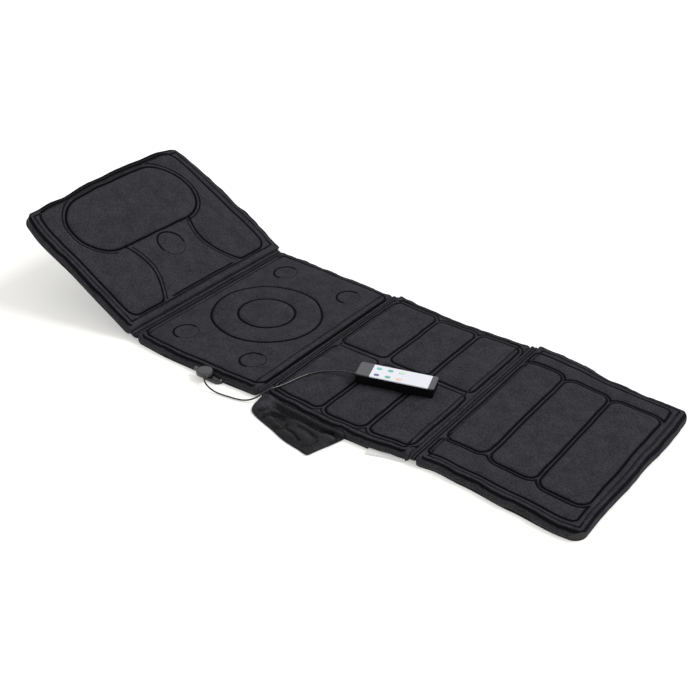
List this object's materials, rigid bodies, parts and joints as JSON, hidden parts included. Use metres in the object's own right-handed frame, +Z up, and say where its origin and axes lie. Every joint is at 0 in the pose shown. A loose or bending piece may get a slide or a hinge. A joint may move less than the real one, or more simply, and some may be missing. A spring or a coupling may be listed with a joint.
{
  "type": "folding massage mat",
  "caption": "Folding padded mat of quilted black panels on fabric hinges, with vibration motors, a heated back panel, an edge pocket and a corded handset.",
  "frame": {"origin": "centre of the underside of the back panel, the second panel from the head end", "axes": "+X along the mat from the head panel to the leg panel, +Y across the mat away from the outlet and pocket, +Z up; the head panel stands raised by 30 degrees"},
  "size_m": [1.5975, 0.689, 0.2335],
  "materials": {
    "knit_cover": "foam-laminated black knit, matte, embossed",
    "lining": "plain black woven underside",
    "foam": "open-cell grey foam",
    "motor_plastic": "moulded black",
    "rotor_steel": "plated",
    "heating_film": "carbon heating film between fleece",
    "outlet_plastic": "gloss graphite",
    "rubber": "soft black, slight sheen",
    "grey_plastic": "satin grey",
    "black_plastic": "satin black",
    "white_face": "printed white overlay",
    "circuit_board": "green solder mask",
    "nylon": "thin coated nylon, slight sheen",
    "label_satin": "white satin, blank",
    "key_tint_1": "silicone",
    "key_tint_2": "silicone",
    "key_tint_3": "silicone",
    "key_tint_4": "silicone",
    "key_tint_5": "silicone",
    "key_tint_6": "silicone"
  },
  "bodies": {
    "back_panel": {"back_top_cover": "knit_cover", "back_back_cover": "lining", "back_foam_core": "foam", "heating_pad": "heating_film", "thermostat": "grey_plastic", "head_hinge_strip": "knit_cover", "hip_hinge_strip": "knit_cover", "outlet_base": "outlet_plastic", "outlet_cap": "outlet_plastic", "outlet_boot": "rubber", "power_inlet": "grey_plastic", "outlet_strain_relief": "rubber", "control_cord": "rubber", "motor_case_back_1": "motor_plastic", "motor_case_back_2": "motor_plastic"},
    "head_panel": {"head_top_cover": "knit_cover", "head_back_cover": "lining", "head_foam_core": "foam", "motor_case_head_1": "motor_plastic", "motor_case_head_2": "motor_plastic"},
    "seat_panel": {"seat_top_cover": "knit_cover", "seat_back_cover": "lining", "seat_foam_core": "foam", "leg_hinge_strip": "knit_cover", "handset_shell": "black_plastic", "handset_board": "circuit_board", "handset_face": "white_face", "handset_cap_left": "grey_plastic", "handset_cap_right": "grey_plastic", "handset_strain_relief": "rubber", "side_pocket": "nylon", "care_label": "label_satin", "motor_case_seat_1": "motor_plastic", "motor_case_seat_2": "motor_plastic", "motor_case_seat_3": "motor_plastic", "motor_case_seat_4": "motor_plastic"},
    "leg_panel": {"leg_top_cover": "knit_cover", "leg_back_cover": "lining", "leg_foam_core": "foam", "motor_case_leg_1": "motor_plastic", "motor_case_leg_2": "motor_plastic"},
    "rotor_head_1": {"motor_rotor_head_1": "rotor_steel"},
    "rotor_head_2": {"motor_rotor_head_2": "rotor_steel"},
    "rotor_back_1": {"motor_rotor_back_1": "rotor_steel"},
    "rotor_back_2": {"motor_rotor_back_2": "rotor_steel"},
    "rotor_seat_1": {"motor_rotor_seat_1": "rotor_steel"},
    "rotor_seat_2": {"motor_rotor_seat_2": "rotor_steel"},
    "rotor_seat_3": {"motor_rotor_seat_3": "rotor_steel"},
    "rotor_seat_4": {"motor_rotor_seat_4": "rotor_steel"},
    "rotor_leg_1": {"motor_rotor_leg_1": "rotor_steel"},
    "rotor_leg_2": {"motor_rotor_leg_2": "rotor_steel"},
    "key_1": {"handset_key_1": "key_tint_1"},
    "key_2": {"handset_key_2": "key_tint_2"},
    "key_3": {"handset_key_3": "key_tint_3"},
    "key_4": {"handset_key_4": "key_tint_4"},
    "key_5": {"handset_key_5": "key_tint_5"},
    "key_6": {"handset_key_6": "key_tint_6"}
  },
  "joints": [
    {"name": "head_fold", "type": "hinge", "parent": "back_panel", "child": "head_panel", "pos_m": [-0.198, 0, 0.028], "axis": [0, 1, 0], "range_deg": [-30, 148], "deforming": ["head_hinge_strip"]},
    {"name": "hip_fold", "type": "hinge", "parent": "back_panel", "child": "seat_panel", "pos_m": [0.198, 0, 0], "axis": [0, 1, 0], "range_deg": [0, 175], "deforming": ["hip_hinge_strip", "control_cord"]},
    {"name": "leg_fold", "type": "hinge", "parent": "seat_panel", "child": "leg_panel", "pos_m": [0.609, 0, 0.028], "axis": [0, -1, 0], "range_deg": [0, 155], "deforming": ["leg_hinge_strip"]},
    {"name": "spin_head_1", "type": "hinge", "parent": "head_panel", "child": "rotor_head_1", "pos_m": [-0.32132, -0.187, 0.07841], "axis": [0.5, 0, 0.866], "continuous": true},
    {"name": "spin_head_2", "type": "hinge", "parent": "head_panel", "child": "rotor_head_2", "pos_m": [-0.32132, 0.187, 0.07841], "axis": [0.5, 0, 0.866], "continuous": true},
    {"name": "spin_back_1", "type": "hinge", "parent": "back_panel", "child": "rotor_back_1", "pos_m": [0, -0.212, 0.01], "axis": [0, 0, 1], "continuous": true},
    {"name": "spin_back_2", "type": "hinge", "parent": "back_panel", "child": "rotor_back_2", "pos_m": [0, 0.212, 0.01], "axis": [0, 0, 1], "continuous": true},
    {"name": "spin_seat_1", "type": "hinge", "parent": "seat_panel", "child": "rotor_seat_1", "pos_m": [0.285, -0.16, 0.01], "axis": [0, 0, 1], "continuous": true},
    {"name": "spin_seat_2", "type": "hinge", "parent": "seat_panel", "child": "rotor_seat_2", "pos_m": [0.285, 0.16, 0.01], "axis": [0, 0, 1], "continuous": true},
    {"name": "spin_seat_3", "type": "hinge", "parent": "seat_panel", "child": "rotor_seat_3", "pos_m": [0.526, -0.16, 0.01], "axis": [0, 0, 1], "continuous": true},
    {"name": "spin_seat_4", "type": "hinge", "parent": "seat_panel", "child": "rotor_seat_4", "pos_m": [0.526, 0.16, 0.01], "axis": [0, 0, 1], "continuous": true},
    {"name": "spin_leg_1", "type": "hinge", "parent": "leg_panel", "child": "rotor_leg_1", "pos_m": [0.799, -0.118, 0.01], "axis": [0, 0, 1], "continuous": true},
    {"name": "spin_leg_2", "type": "hinge", "parent": "leg_panel", "child": "rotor_leg_2", "pos_m": [0.799, 0.118, 0.01], "axis": [0, 0, 1], "continuous": true},
    {"name": "press_key_1", "type": "slide", "parent": "seat_panel", "child": "key_1", "axis": [0, 0, -1], "range_m": [0, 0.0008], "stiffness_N_per_m": 600, "springref_m": -0.0004},
    {"name": "press_key_2", "type": "slide", "parent": "seat_panel", "child": "key_2", "axis": [0, 0, -1], "range_m": [0, 0.0008], "stiffness_N_per_m": 600, "springref_m": -0.0004},
    {"name": "press_key_3", "type": "slide", "parent": "seat_panel", "child": "key_3", "axis": [0, 0, -1], "range_m": [0, 0.0008], "stiffness_N_per_m": 600, "springref_m": -0.0004},
    {"name": "press_key_4", "type": "slide", "parent": "seat_panel", "child": "key_4", "axis": [0, 0, -1], "range_m": [0, 0.0008], "stiffness_N_per_m": 600, "springref_m": -0.0004},
    {"name": "press_key_5", "type": "slide", "parent": "seat_panel", "child": "key_5", "axis": [0, 0, -1], "range_m": [0, 0.0008], "stiffness_N_per_m": 600, "springref_m": -0.0004},
    {"name": "press_key_6", "type": "slide", "parent": "seat_panel", "child": "key_6", "axis": [0, 0, -1], "range_m": [0, 0.0008], "stiffness_N_per_m": 600, "springref_m": -0.0004}
  ]
}
